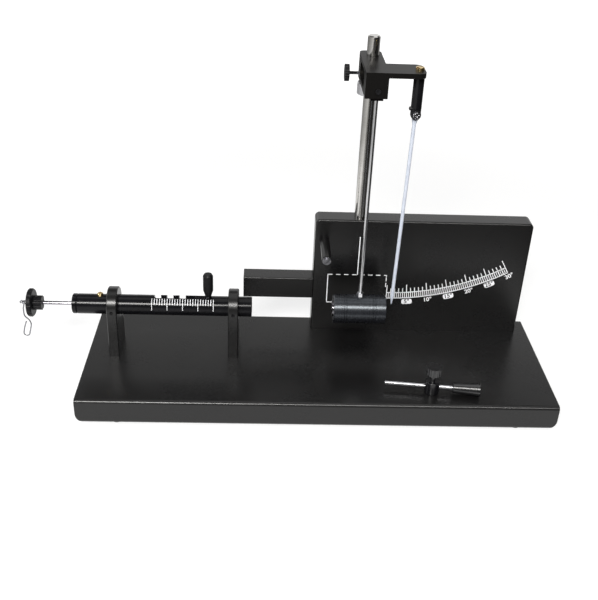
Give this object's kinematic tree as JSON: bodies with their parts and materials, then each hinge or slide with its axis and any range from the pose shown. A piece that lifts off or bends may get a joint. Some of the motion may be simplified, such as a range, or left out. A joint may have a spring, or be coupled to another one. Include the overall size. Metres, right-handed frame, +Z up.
{
  "type": "ballistic pendulum",
  "caption": "Bench ballistic pendulum: spring launcher with latch notches, bob on a rod hung from a column block, trailing pointer and folded panel for an arc scale.",
  "frame": {"origin": "centre of the base footprint, on the surface that the base stands on", "axes": "+X along the line of fire towards the bob, +Y from the open front to the panel, +Z up"},
  "size_m": [0.5765, 0.176, 0.3684],
  "materials": {
    "powder_black": "fine textured black powder coat, semi-gloss",
    "satin_black": "smooth satin black coat on turned and milled metal",
    "chrome": "bright chrome plate",
    "zinc_steel": "zinc plated steel",
    "brass": "turned brass",
    "bare_aluminium": "turned aluminium",
    "black_plastic": "moulded black plastic",
    "white_plastic": "milky white plastic",
    "rubber": "black rubber"
  },
  "bodies": {
    "frame": {"base_tray": "powder_black", "rubber_feet": "rubber", "scale_panel": "powder_black", "panel_side_bar": "powder_black", "base_screws": "zinc_steel", "column": "chrome", "column_bolt": "zinc_steel", "stop_post": "satin_black", "stop_post_screw": "zinc_steel", "barrel_tube": "satin_black", "barrel_end_cap": "satin_black", "barrel_screw": "brass", "bracket_left": "powder_black", "bracket_right": "powder_black", "bracket_set_screws": "zinc_steel", "launch_spring": "zinc_steel"},
    "collar": {"stop_collar": "bare_aluminium", "stop_collar_screw": "zinc_steel"},
    "block": {"pendulum_block": "satin_black", "pendulum_pivot": "zinc_steel", "pointer_bar": "satin_black", "arm_screw": "brass", "pointer_pivot": "zinc_steel", "pointer_washer": "zinc_steel"},
    "clamp": {"clamp_screw": "zinc_steel", "clamp_knob": "black_plastic"},
    "pendulum": {"pendulum_hub": "satin_black", "pendulum_rod": "chrome", "rod_nut": "chrome", "bob": "satin_black", "bob_liner": "chrome"},
    "pointer": {"pointer_needle": "white_plastic"},
    "plunger": {"piston": "zinc_steel", "plunger_rod": "chrome", "bolt_pin": "zinc_steel", "bolt_grip": "black_plastic", "plunger_knob": "black_plastic", "hook_eye": "zinc_steel"},
    "hook": {"s_hook": "zinc_steel"},
    "ball": {"steel_ball": "chrome"},
    "loading_rod": {"ram_rod": "chrome", "ram_handle": "black_plastic"},
    "depth_stop": {"ram_stop": "satin_black"},
    "depth_stop_thumb": {"ram_stop_screw": "black_plastic"}
  },
  "joints": [
    {"name": "collar_height", "type": "slide", "parent": "frame", "child": "collar", "axis": [0, 0, -1], "range_m": [0, 0.12]},
    {"name": "block_height", "type": "slide", "parent": "frame", "child": "block", "axis": [0, 0, 1], "range_m": [0, 0.018]},
    {"name": "clamp_turn", "type": "hinge", "parent": "block", "child": "clamp", "pos_m": [0.0205, 0.07, 0.3304], "axis": [-1, 0, 0], "continuous": true},
    {"name": "pendulum_swing", "type": "hinge", "parent": "block", "child": "pendulum", "pos_m": [0.0455, 0.016, 0.3304], "axis": [0, -1, 0], "range_deg": [-9.5, 45]},
    {"name": "pointer_swing", "type": "hinge", "parent": "block", "child": "pointer", "pos_m": [0.0858, 0.022, 0.3052], "axis": [0, -1, 0], "range_deg": [-11.5, 54]},
    {"name": "plunger_pull", "type": "slide", "parent": "frame", "child": "plunger", "axis": [-1, 0, 0], "range_m": [0, 0.0552], "stiffness_N_per_m": 280, "springref_m": -0.02, "deforming": ["launch_spring"]},
    {"name": "hook_swing", "type": "hinge", "parent": "plunger", "child": "hook", "pos_m": [-0.32147, 0.016, 0.0845], "axis": [0, 1, 0], "range_deg": [-8, 60]},
    {"name": "ball_flight", "type": "slide", "parent": "frame", "child": "ball", "axis": [1, 0, 0], "range_m": [0, 0.147]},
    {"name": "loading_rod_lift", "type": "slide", "parent": "frame", "child": "loading_rod", "axis": [0, 0, 1], "range_m": [0, 0.1]},
    {"name": "depth_stop_slide", "type": "slide", "parent": "loading_rod", "child": "depth_stop", "axis": [-0.9944, 0.1057, 0], "range_m": [-0.012, 0.038]},
    {"name": "depth_stop_turn", "type": "hinge", "parent": "depth_stop", "child": "depth_stop_thumb", "pos_m": [0.11972, -0.06209, 0.054], "axis": [0, 0, 1], "continuous": true}
  ],
  "couplings": [
    {"joint": "pointer_swing", "follows": "pendulum_swing", "ratio": 1.18}
  ]
}
